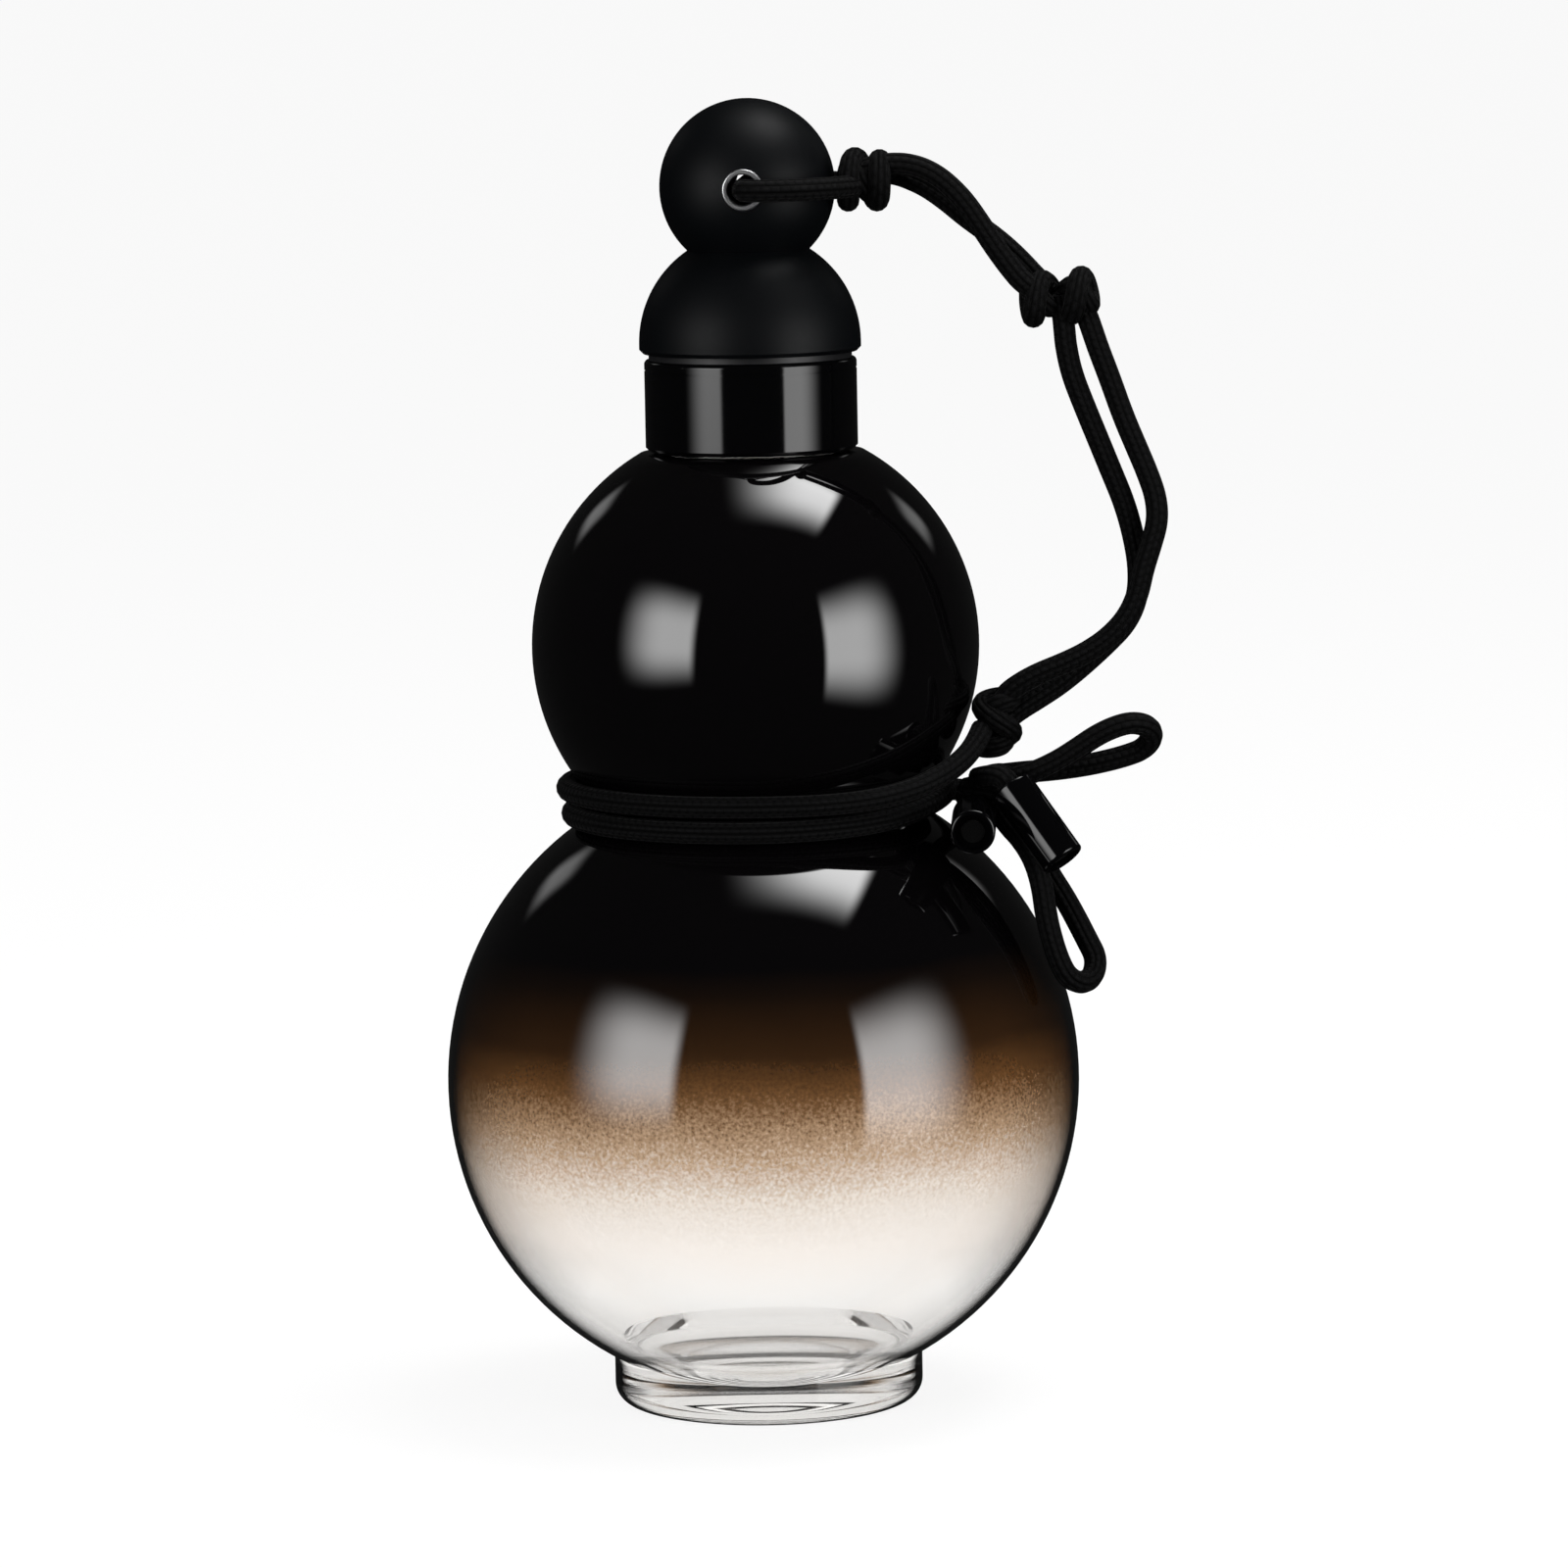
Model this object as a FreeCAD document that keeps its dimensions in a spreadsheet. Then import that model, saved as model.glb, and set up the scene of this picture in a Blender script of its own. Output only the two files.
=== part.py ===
import FreeCAD, Part
import math
import os
from types import SimpleNamespace

import Sketcher

# Gourd water bottle: a blown glass gourd, a screw cap with a ball on its dome, and a knotted cord
# that ties the cap to the waist. Millimetres, Z up, origin at the middle of the foot's underside.

SIZES = {
    # glass body
    "lower_bulb_radius": 48.0,
    "upper_bulb_radius": 33.8,
    "bulb_spacing": 66.3,
    "glass_wall": 2.2,
    "base_thickness": 2.1,
    "waist_fillet": 3.0,
    "foot_radius": 23.5,
    "foot_edge_radius": 3.0,
    "foot_crease_fillet": 0.6,
    "punt_radius": 16.5,
    "punt_depth": 1.6,
    "shoulder_margin": 0.9,
    "neck_radius": 12.6,
    "neck_wall": 2.4,
    "neck_height": 10.9,
    "neck_root_fillet": 0.8,
    "throat_fillet": 2.0,
    "lip_radius": 0.8,
    # cap
    "collar_gap": 0.35,
    "liner_wall": 1.35,
    "collar_wall": 1.0,
    "collar_height": 13.8,
    "collar_lip_radius": 0.7,
    "collar_bevel": 0.6,
    "collar_line_drop": 1.5,
    "collar_line_width": 0.3,
    "collar_line_depth": 0.2,
    "groove_height": 0.9,
    "groove_inset": 0.7,
    "dome_overhang": 0.7,
    "dome_skirt": 1.4,
    "dome_chamfer": 0.6,
    "crown_wall": 2.2,
    "ball_radius": 13.2,
    "ball_rise": 23.4,
    "press_clearance": 0.05,
    "thread_clearance": 1.0,
    "liner_recess": 0.5,
    "spigot_wall": 1.6,
    "spigot_clearance": 0.2,
    "seal_thickness": 1.6,
    "seal_gap": 0.1,
    "seal_width": 4.2,
    "seal_side_clearance": 0.3,
    # eyelets in the ball's cross hole
    "eyelet_radius": 2.75,
    "eyelet_wall": 0.45,
    "eyelet_length": 6.0,
    "eyelet_flange_radius": 3.1,
    "eyelet_flange_height": 0.6,
    "eyelet_round": 0.25,
    "eyelet_sink": 0.15,
    "eyelet_clearance": 0.03,
    # cord, knots and tips
    "cord_diameter": 3.4,
    "wrap_clearance": 0.3,
    "wrap_lower_stand": 1.6,
    "wrap_upper_stand": 2.3,
    "wrap_leaving_stand": 6.4,
    "knot_core_radius": 3.5,
    "knot_ring_radius": 2.3,
    "ball_knot_half": 3.9,
    "middle_knot_half": 6.4,
    "waist_knot_half": 5.4,
    "bow_knot_half": 4.0,
    "tip_radius": 3.35,
    "tip_length": 14.0,
    "tip_round": 0.5,
    "tip_mouth_radius": 2.7,
    "tip_mouth_depth": 1.6,
    "tip_clearance": 0.1,
    # shared
    "cut_overrun": 2.0,
    "edge_match": 0.01,
}

# A cord bend takes this share of its shorter run, on each side of its corner.
ARC_SHARE = 0.45
# A knot's two turns sit this share of its half length from its middle, leaning by this many degrees.
KNOT_RING_SHARE = 0.36
KNOT_RING_LEAN = 24
# A cord's end stops this share of the way down its tip's mouth.
MOUTH_SHARE = 0.5
# A cord end's bend lies this share of a diameter before its tip.
BEND_SHARE = 0.8
FULL_TURN = 360
QUARTER_TURN = 90
# The wrap starts in front on the right, runs clockwise seen from above, and leaves leaning outwards.
WRAP_START_AZIMUTH = -65
WRAP_UPPER_QUARTERS = 4
WRAP_LOWER_QUARTERS = 3
WRAP_LEAVING_LEAN = 10
# Stretches of the wrap closer than this many cord diameters along it are one bend, not two turns.
NEIGHBOUR_DIAMETERS = 6
GAP_SAMPLES = 900

UP = FreeCAD.Vector(0, 0, 1)

# Cord routes, chosen by hand. Each list runs from one knot to the next.
ROUTES = {
    "ball_loop": [
        (16.3, -4.3, 184.9), (14.6, -8.2, 184.9), (11.6, -12.4, 184.9), (7.0, -15.6, 184.9),
        (0.0, -15.8, 184.9), (0.0, 15.8, 184.9),
        (7.2, 15.4, 184.9), (11.6, 11.6, 184.9), (14.6, 6.8, 184.9), (16.0, 3.2, 184.9),
        (16.4, -0.5, 184.9),
    ],
    "tether_upper_a": [
        (21.9, -3.5, 188.1), (24.1, -3.6, 188.0), (26.6, -3.7, 187.3), (29.0, -3.8, 185.9),
        (31.0, -4.0, 184.1), (32.8, -4.1, 182.1), (34.9, -4.2, 179.0), (36.9, -4.2, 175.8),
        (39.2, -4.0, 172.5), (41.5, -3.8, 169.7),
    ],
    "tether_upper_b": [
        (22.5, 0.0, 186.4), (24.4, 0.0, 185.7), (26.9, -0.1, 184.5), (29.7, -0.2, 182.5),
        (32.6, -0.1, 180.0), (35.4, 0.0, 177.9), (38.2, 0.1, 175.7), (40.9, 0.1, 173.1),
        (43.2, 0.0, 170.5),
    ],
    "tether_lower_a": [
        (47.3, -2.0, 162.6), (47.5, -2.0, 160.2), (48.3, -2.0, 156.2), (50.1, -2.0, 151.4),
        (52.0, -1.8, 146.6), (54.0, -1.4, 141.5), (55.9, -0.8, 136.7), (57.2, -0.2, 131.8),
        (58.0, 0.2, 126.8), (57.8, 0.3, 122.4), (56.1, 0.2, 118.4), (52.8, -0.2, 115.1),
        (48.9, -0.9, 111.7), (45.7, -2.0, 109.3), (42.7, -3.0, 107.5), (40.4, -3.7, 106.2),
        (38.7, -4.1, 105.1),
    ],
    "tether_lower_b": [
        (51.5, -2.0, 162.5), (52.3, -2.0, 160.0), (54.0, -2.0, 155.4), (55.9, -2.0, 149.8),
        (57.8, -2.2, 145.2), (59.5, -2.6, 141.1), (60.7, -3.0, 137.5), (60.9, -3.4, 134.0),
        (59.8, -3.8, 130.3), (58.6, -4.0, 126.7), (57.8, -4.1, 123.0), (56.1, -4.2, 119.5),
        (53.3, -4.5, 116.6), (49.9, -4.9, 114.4), (46.3, -5.3, 112.8), (42.8, -5.6, 111.5),
        (39.9, -5.8, 110.0), (37.6, -5.8, 108.3),
    ],
    "bow_loop_upper": [
        (37.6, -9.4, 96.0), (40.2, -10.0, 96.5), (43.0, -10.5, 97.6), (45.8, -10.8, 99.0),
        (48.6, -11.0, 100.8), (51.4, -11.2, 102.7), (54.2, -11.3, 104.0), (56.8, -11.1, 104.6),
        (59.2, -9.6, 103.8), (59.8, -7.4, 101.9), (58.4, -5.9, 99.9), (55.8, -5.6, 98.9),
        (52.6, -5.7, 98.1), (49.4, -5.8, 97.5), (46.3, -5.9, 97.1), (43.2, -5.9, 96.8),
        (40.2, -5.7, 96.6), (37.5, -5.6, 96.3),
    ],
    "bow_loop_lower": [
        (36.2, -8.6, 91.6), (37.7, -9.4, 89.3), (40.0, -10.6, 87.0), (41.9, -12.0, 84.0),
        (43.0, -13.2, 80.2), (43.5, -14.2, 76.0), (44.3, -14.9, 72.5), (45.3, -15.2, 69.3),
        (46.6, -15.2, 66.7), (48.8, -13.7, 65.5), (50.5, -11.5, 66.4), (50.9, -10.0, 68.9),
        (49.6, -9.9, 71.5), (48.0, -9.4, 74.7), (46.2, -8.8, 78.0), (44.0, -8.0, 81.4),
        (42.2, -7.0, 84.8), (40.2, -5.9, 88.8), (38.1, -5.2, 92.4),
    ],
}
# Where the wrap's cord comes out of the waist knot and goes into the bow knot, with its way there.
WRAP_START = FreeCAD.Vector(34.2, -7.2, 103.4)
WRAP_START_WAY = FreeCAD.Vector(-0.32, -0.91, -0.25).normalize()
WRAP_END = FreeCAD.Vector(34.6, -4.4, 94.0)
WRAP_END_WAY = FreeCAD.Vector(0.0, -1.0, 0.0)
# Knots: middle, and the way of the knot's length.
BALL_KNOT = (FreeCAD.Vector(17.6, -2.2, 185.7), FreeCAD.Vector(1.0, 0.0, 0.1))
MIDDLE_KNOT = (FreeCAD.Vector(46.5, -2.0, 167.7), FreeCAD.Vector(1.0, 0.0, -0.25))
WAIST_KNOT = (FreeCAD.Vector(36.3, -5.1, 104.1), FreeCAD.Vector(0.1, 0.0, 1.0))
BOW_KNOT = (FreeCAD.Vector(35.2, -7.5, 94.5), FreeCAD.Vector(0.0, 0.4, 1.0))
# Cord ends: a point in the bow knot, the middle of the tip's inner end, and the way of the tip.
END_A = (
    FreeCAD.Vector(33.4, -10.8, 96.3),
    FreeCAD.Vector(38.5, -15.4, 95.7),
    FreeCAD.Vector(0.559, -0.322, -0.762).normalize(),
)
END_B = (
    FreeCAD.Vector(31.6, -6.8, 93.2),
    FreeCAD.Vector(33.0, -11.9, 90.9),
    FreeCAD.Vector(0.0, -0.99, -0.05).normalize(),
)


class Size:
    """A length or a number, with the sheet formula that gives it."""

    def __init__(self, value, text):
        self.value = value
        self.text = text

    def __add__(self, other):
        return Size(self.value + other.value, f"({self.text} + {other.text})")

    def __sub__(self, other):
        return Size(self.value - other.value, f"({self.text} - {other.text})")

    def __mul__(self, other):
        return Size(self.value * other.value, f"({self.text} * {other.text})")

    def __truediv__(self, other):
        return Size(self.value / other.value, f"({self.text} / {other.text})")


def root(size):
    return Size(math.sqrt(size.value), f"sqrt({size.text})")


ZERO = Size(0.0, "0")
TWO = Size(2.0, "2")

doc = FreeCAD.newDocument("gourd_bottle")
sheet = doc.addObject("Spreadsheet::Sheet", "sizes")
for row, (name, value) in enumerate(SIZES.items(), start=1):
    sheet.set(f"A{row}", name)
    sheet.set(f"B{row}", str(value))
    sheet.setAlias(f"B{row}", name)
doc.recompute()
s = SimpleNamespace(**{name: Size(float(sheet.get(name)), f"sizes.{name}") for name in SIZES})


def meeting(low_radius, low_height, high_radius, spacing):
    """Radius and height where two spheres on the axis meet, the lower one at low_height."""
    climb = (spacing * spacing + low_radius * low_radius - high_radius * high_radius) / (TWO * spacing)
    return root(low_radius * low_radius - climb * climb), low_height + climb


def above(height, radius, reach):
    """Height of a sphere's upper half at a distance from the axis."""
    return height + root(radius * radius - reach * reach)


def below(height, radius, reach):
    """Height of a sphere's lower half at a distance from the axis."""
    return height - root(radius * radius - reach * reach)


# Sizes that follow from the sheet.
cord_radius = s.cord_diameter / TWO
thread_bore = s.neck_radius + s.thread_clearance
collar_inner = thread_bore + s.liner_wall + s.press_clearance
collar_radius = collar_inner + s.collar_wall
groove_radius = collar_radius - s.groove_inset
dome_radius = collar_radius + s.dome_overhang
lower_inner = s.lower_bulb_radius - s.glass_wall
upper_inner = s.upper_bulb_radius - s.glass_wall
lower_bulb_height = s.punt_depth + s.base_thickness + lower_inner
upper_bulb_height = lower_bulb_height + s.bulb_spacing
shoulder_radius = collar_radius + s.shoulder_margin
shoulder_height = above(upper_bulb_height, s.upper_bulb_radius, shoulder_radius)
mouth_height = shoulder_height + s.neck_height
bore_radius = s.neck_radius - s.neck_wall
collar_bottom = shoulder_height + s.collar_gap
collar_top = collar_bottom + s.collar_height
dome_bottom = collar_top + s.groove_height
dome_equator = dome_bottom + s.dome_skirt
ball_height = dome_equator + s.ball_rise
crown_inner = dome_radius - s.crown_wall
plate_bottom = mouth_height + s.seal_gap + s.seal_thickness
eyelet_bore = s.eyelet_radius - s.eyelet_wall
eyelet_seat = root(
    s.ball_radius * s.ball_radius - s.eyelet_flange_radius * s.eyelet_flange_radius
) - s.eyelet_sink
tip_bore = cord_radius + s.tip_clearance


def arc_between(start, end, radius, side):
    """Arc of under a half turn, its centre on the left (side 1) or the right (side -1) of the way."""
    chord = end - start
    across = FreeCAD.Vector(-chord.y, chord.x, 0).normalize()
    reach = math.sqrt(radius * radius - chord.Length * chord.Length / 4)
    centre = (start + end) * 0.5 + across * (side * reach)
    first, last = (start, end) if side > 0 else (end, start)
    angles = [math.atan2(point.y - centre.y, point.x - centre.x) for point in (first, last)]
    return Part.ArcOfCircle(Part.Circle(centre, UP, radius), *angles)


def bind(sketch, constraint, name, size):
    index = sketch.addConstraint(constraint)
    sketch.renameConstraint(index, name)
    sketch.setExpression("Constraints." + name, size.text)


def draw_profile(sketch, corners, arcs):
    """Closed outline through corners (radius, height); arcs (radius, side) go by their first corner."""
    points = [FreeCAD.Vector(radius.value, height.value, 0) for radius, height in corners]
    count = len(points)
    ends = []
    for index, start in enumerate(points):
        end = points[(index + 1) % count]
        if index in arcs:
            radius, side = arcs[index]
            sketch.addGeometry(arc_between(start, end, radius.value, side), False)
            ends.append((1, 2) if side > 0 else (2, 1))
        else:
            sketch.addGeometry(Part.LineSegment(start, end), False)
            ends.append((1, 2))
    for index in range(count):
        after = (index + 1) % count
        meet = Sketcher.Constraint("Coincident", index, ends[index][1], after, ends[after][0])
        sketch.addConstraint(meet)
    for index, (radius, height) in enumerate(corners):
        end = ends[index][0]
        if radius is ZERO:
            sketch.addConstraint(Sketcher.Constraint("PointOnObject", index, end, -2))
        else:
            across = Sketcher.Constraint("DistanceX", -1, 1, index, end, radius.value)
            bind(sketch, across, f"radius_{index}", radius)
        if height is ZERO:
            sketch.addConstraint(Sketcher.Constraint("PointOnObject", index, end, -1))
        else:
            upward = Sketcher.Constraint("DistanceY", -1, 1, index, end, height.value)
            bind(sketch, upward, f"height_{index}", height)
    for index, (radius, side) in arcs.items():
        bind(sketch, Sketcher.Constraint("Radius", index, radius.value), f"round_{index}", radius)


def revolved(label, corners, arcs):
    """Body turned about the Z axis from an outline."""
    body = doc.addObject("PartDesign::Body", label)
    body.Label = label
    sketch = body.newObject("Sketcher::SketchObject", label + "_profile")
    plane = next(item for item in body.Origin.OriginFeatures if item.Role == "XZ_Plane")
    sketch.AttachmentSupport = [(plane, "")]
    sketch.MapMode = "FlatFace"
    draw_profile(sketch, corners, arcs)
    form = body.newObject("PartDesign::Revolution", label + "_form")
    form.Profile = sketch
    form.ReferenceAxis = (sketch, ["V_Axis"])
    form.Angle = FULL_TURN
    doc.recompute()
    return body


def round_edges(body, name, radius, places):
    """Round the circular edges of the body at these radii and heights."""
    base = body.Tip
    names = []
    for number, edge in enumerate(base.Shape.Edges, start=1):
        if edge.Degenerated or not isinstance(edge.Curve, Part.Circle):
            continue
        for reach, height in places:
            off_radius = abs(edge.Curve.Radius - reach.value)
            off_height = abs(edge.Curve.Center.z - height.value)
            if max(off_radius, off_height) < s.edge_match.value:
                names.append(f"Edge{number}")
    fillet = body.newObject("PartDesign::Fillet", name)
    fillet.Base = (base, names)
    fillet.setExpression("Radius", radius.text)
    doc.recompute()


def glass_body():
    waist = meeting(s.lower_bulb_radius, lower_bulb_height, s.upper_bulb_radius, s.bulb_spacing)
    inner_waist = meeting(lower_inner, lower_bulb_height, upper_inner, s.bulb_spacing)
    foot_top = below(lower_bulb_height, s.lower_bulb_radius, s.foot_radius)
    ceiling = shoulder_height - s.glass_wall
    ceiling_rise = ceiling - upper_bulb_height
    ceiling_radius = root(upper_inner * upper_inner - ceiling_rise * ceiling_rise)
    punt_round = (s.punt_radius * s.punt_radius + s.punt_depth * s.punt_depth) / (TWO * s.punt_depth)
    corners = [
        (ZERO, s.punt_depth),
        (s.punt_radius, ZERO),
        (s.foot_radius - s.foot_edge_radius, ZERO),
        (s.foot_radius, s.foot_edge_radius),
        (s.foot_radius, foot_top),
        waist,
        (shoulder_radius, shoulder_height),
        (s.neck_radius, shoulder_height),
        (s.neck_radius, mouth_height - s.lip_radius),
        (s.neck_radius - s.lip_radius, mouth_height),
        (bore_radius + s.lip_radius, mouth_height),
        (bore_radius, mouth_height - s.lip_radius),
        (bore_radius, ceiling),
        (ceiling_radius, ceiling),
        inner_waist,
        (ZERO, lower_bulb_height - lower_inner),
    ]
    arcs = {
        0: (punt_round, -1),
        2: (s.foot_edge_radius, 1),
        4: (s.lower_bulb_radius, 1),
        5: (s.upper_bulb_radius, 1),
        8: (s.lip_radius, 1),
        10: (s.lip_radius, 1),
        13: (upper_inner, -1),
        14: (lower_inner, -1),
    }
    body = revolved("glass_body", corners, arcs)
    round_edges(body, "waist_rounding", s.waist_fillet, [waist, inner_waist])
    round_edges(body, "throat_rounding", s.throat_fillet, [(bore_radius, ceiling)])
    round_edges(body, "neck_root_rounding", s.neck_root_fillet, [(s.neck_radius, shoulder_height)])
    round_edges(body, "foot_crease_rounding", s.foot_crease_fillet, [(s.foot_radius, foot_top)])


def cross_cylinder(name, radius, start, length):
    """Cylinder along the ball's cross hole, from a distance behind the ball's middle towards the front."""
    cylinder = doc.addObject("Part::Cylinder", name)
    cylinder.setExpression("Radius", radius.text)
    cylinder.setExpression("Height", length.text)
    turn = FreeCAD.Rotation(FreeCAD.Vector(1, 0, 0), QUARTER_TURN)
    cylinder.Placement = FreeCAD.Placement(FreeCAD.Vector(), turn)
    cylinder.setExpression("Placement.Base.y", start.text)
    cylinder.setExpression("Placement.Base.z", ball_height.text)
    return cylinder


def cap_crown():
    crease = meeting(dome_radius, dome_equator, s.ball_radius, s.ball_rise)
    corners = [
        (crown_inner, dome_bottom),
        (dome_radius - s.dome_chamfer, dome_bottom),
        (dome_radius, dome_bottom + s.dome_chamfer),
        (dome_radius, dome_equator),
        crease,
        (ZERO, ball_height + s.ball_radius),
        (ZERO, dome_equator + crown_inner),
        (crown_inner, dome_equator),
    ]
    arcs = {
        3: (dome_radius, 1),
        4: (s.ball_radius, 1),
        6: (crown_inner, -1),
    }
    form = revolved("crown_form", corners, arcs)
    end = s.ball_radius + s.cut_overrun
    seat_radius = s.eyelet_flange_radius + s.eyelet_clearance
    seat_length = end - eyelet_seat
    hole = cross_cylinder("cord_hole", s.eyelet_radius + s.eyelet_clearance, end, end + end)
    back_seat = cross_cylinder("back_eyelet_seat", seat_radius, end, seat_length)
    front_seat = cross_cylinder("front_eyelet_seat", seat_radius, ZERO - eyelet_seat, seat_length)
    cutters = doc.addObject("Part::MultiFuse", "crown_cutters")
    cutters.Shapes = [hole, back_seat, front_seat]
    crown = doc.addObject("Part::Cut", "cap_crown")
    crown.Label = "cap_crown"
    crown.Base = form
    crown.Tool = cutters
    doc.recompute()


def cap_collar():
    line_top = collar_top - s.collar_line_drop
    line_bottom = line_top - s.collar_line_width
    line_radius = collar_radius - s.collar_line_depth
    corners = [
        (collar_inner, collar_bottom),
        (collar_radius - s.collar_bevel, collar_bottom),
        (collar_radius, collar_bottom + s.collar_bevel),
        (collar_radius, line_bottom),
        (line_radius, line_bottom),
        (line_radius, line_top),
        (collar_radius, line_top),
        (collar_radius, collar_top - s.collar_lip_radius),
        (collar_radius - s.collar_lip_radius, collar_top),
        (collar_inner, collar_top),
    ]
    revolved("cap_collar", corners, {7: (s.collar_lip_radius, 1)})


def cap_liner():
    skirt_radius = collar_inner - s.press_clearance
    skirt_bottom = collar_bottom + s.liner_recess
    spigot_radius = crown_inner - s.press_clearance
    spigot_top = dome_equator - s.spigot_clearance
    corners = [
        (thread_bore, skirt_bottom),
        (skirt_radius, skirt_bottom),
        (skirt_radius, collar_top),
        (groove_radius, collar_top),
        (groove_radius, dome_bottom),
        (spigot_radius, dome_bottom),
        (spigot_radius, spigot_top),
        (spigot_radius - s.spigot_wall, spigot_top),
        (spigot_radius - s.spigot_wall, dome_bottom),
        (ZERO, dome_bottom),
        (ZERO, plate_bottom),
        (thread_bore, plate_bottom),
    ]
    revolved("cap_liner", corners, {})


def mouth_seal():
    outer = thread_bore - s.seal_side_clearance
    inner = outer - s.seal_width
    bottom = mouth_height + s.seal_gap
    corners = [(inner, bottom), (outer, bottom), (outer, plate_bottom), (inner, plate_bottom)]
    revolved("mouth_seal", corners, {})


def eyelet(label, facing):
    """Flanged tube in the cross hole, facing the front (1) or the back (-1)."""
    flange_top = eyelet_seat + s.eyelet_flange_height
    barrel_end = eyelet_seat - s.eyelet_length
    corners = [
        (eyelet_bore, barrel_end),
        (s.eyelet_radius, barrel_end),
        (s.eyelet_radius, eyelet_seat),
        (s.eyelet_flange_radius, eyelet_seat),
        (s.eyelet_flange_radius, flange_top - s.eyelet_round),
        (s.eyelet_flange_radius - s.eyelet_round, flange_top),
        (eyelet_bore + s.eyelet_round, flange_top),
        (eyelet_bore, flange_top - s.eyelet_round),
    ]
    body = revolved(label, corners, {4: (s.eyelet_round, 1), 6: (s.eyelet_round, 1)})
    turn = FreeCAD.Rotation(FreeCAD.Vector(1, 0, 0), facing * QUARTER_TURN)
    body.Placement = FreeCAD.Placement(FreeCAD.Vector(), turn)
    body.setExpression("Placement.Base.z", ball_height.text)
    doc.recompute()


def cord_tip(label, end):
    """Metal tube on a cord's end, open at its outer end."""
    inner_end, way = end[1], end[2]
    mouth_floor = s.tip_length - s.tip_mouth_depth
    corners = [
        (tip_bore, ZERO),
        (s.tip_radius - s.tip_round, ZERO),
        (s.tip_radius, s.tip_round),
        (s.tip_radius, s.tip_length - s.tip_round),
        (s.tip_radius - s.tip_round, s.tip_length),
        (s.tip_mouth_radius, s.tip_length),
        (s.tip_mouth_radius, mouth_floor),
        (tip_bore, mouth_floor),
    ]
    body = revolved(label, corners, {1: (s.tip_round, 1), 3: (s.tip_round, 1)})
    body.Placement = FreeCAD.Placement(inner_end, FreeCAD.Rotation(UP, way))
    doc.recompute()


def knot(label, place, half_length):
    """Cord knot: an egg-shaped core with two crossed turns of cord round it."""
    middle, way = place
    turn = FreeCAD.Rotation(UP, way)
    core = doc.addObject("Part::Ellipsoid", label + "_core")
    core.setExpression("Radius1", half_length.text)
    core.setExpression("Radius2", s.knot_core_radius.text)
    core.setExpression("Radius3", s.knot_core_radius.text)
    core.Placement = FreeCAD.Placement(middle, turn)
    pieces = [core]
    for side in (-1, 1):
        ring = doc.addObject("Part::Torus", f"{label}_turn_{len(pieces)}")
        ring.setExpression("Radius1", s.knot_ring_radius.text)
        ring.setExpression("Radius2", cord_radius.text)
        lean = FreeCAD.Rotation(FreeCAD.Vector(1, 0, 0), side * KNOT_RING_LEAN)
        offset = turn.multVec(UP * (side * KNOT_RING_SHARE * half_length.value))
        ring.Placement = FreeCAD.Placement(middle + offset, turn * lean)
        pieces.append(ring)
    whole = doc.addObject("Part::MultiFuse", label)
    whole.Label = label
    whole.Shapes = pieces
    doc.recompute()


def arc_from(start, way, end):
    """Arc from a point and its way there to another point: its edge, its radius and its way at the end."""
    chord = end - start
    along = FreeCAD.Vector(chord).normalize()
    angle = way.getAngle(chord)
    aside = (way - along * way.dot(along)).normalize()
    middle = (start + end) * 0.5 + aside * (chord.Length / 2 * math.tan(angle / 2))
    edge = Part.Arc(start, middle, end).toShape()
    return edge, chord.Length / (2 * math.sin(angle)), along * (2 * way.dot(along)) - way


def biarc(start, start_way, end, end_way):
    """Two tangent arcs from one point and way to another."""
    span = end - start
    ways = start_way + end_way
    spread = 2 * (1 - start_way.dot(end_way))
    pull = span.dot(ways)
    reach = (math.sqrt(pull * pull + spread * span.dot(span)) - pull) / spread
    joint = (start + end + (start_way - end_way) * reach) * 0.5
    first, first_radius, joint_way = arc_from(start, start_way, joint)
    second, second_radius, last_way = arc_from(joint, joint_way, end)
    return [first, second], [first_radius, second_radius]


def route_edges(points):
    """Straight runs joined by tangent arcs, each as large as its two runs allow."""
    edges = []
    radii = []
    start = points[0]
    for before, corner, after in zip(points, points[1:], points[2:]):
        run_in = corner - before
        run_out = after - corner
        reach = ARC_SHARE * min(run_in.Length, run_out.Length)
        turn = run_in.getAngle(run_out)
        radius = reach / math.tan(turn / 2)
        way_in = run_in.normalize()
        way_out = run_out.normalize()
        first = corner - way_in * reach
        last = corner + way_out * reach
        inward = (way_out - way_in).normalize()
        middle = corner + inward * (radius / math.cos(turn / 2) - radius)
        edges.append(Part.LineSegment(start, first).toShape())
        edges.append(Part.Arc(first, middle, last).toShape())
        radii.append(radius)
        start = last
    edges.append(Part.LineSegment(start, points[-1]).toShape())
    return edges, radii


def cord(label, edges, radii):
    """Round cord along a path of lines and arcs."""
    path = Part.Wire(edges)
    first = edges[0]
    start = first.valueAt(first.FirstParameter)
    way = first.tangentAt(first.FirstParameter)
    shell = Part.BRepOffsetAPI.MakePipeShell(path)
    shell.add(Part.Wire(Part.makeCircle(cord_radius.value, start, way)))
    shell.build()
    shell.makeSolid()
    tube = doc.addObject("Part::Feature", label)
    tube.Label = label
    tube.Shape = shell.shape()
    expected = math.pi * cord_radius.value * cord_radius.value * path.Length
    tightest = min(radii) if radii else math.inf
    print(f"{label}: length {path.Length:.1f}, tightest radius {tightest:.1f}, "
          f"volume share {tube.Shape.Volume / expected:.4f}, radii {[round(r, 1) for r in radii]}")
    return path


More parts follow.
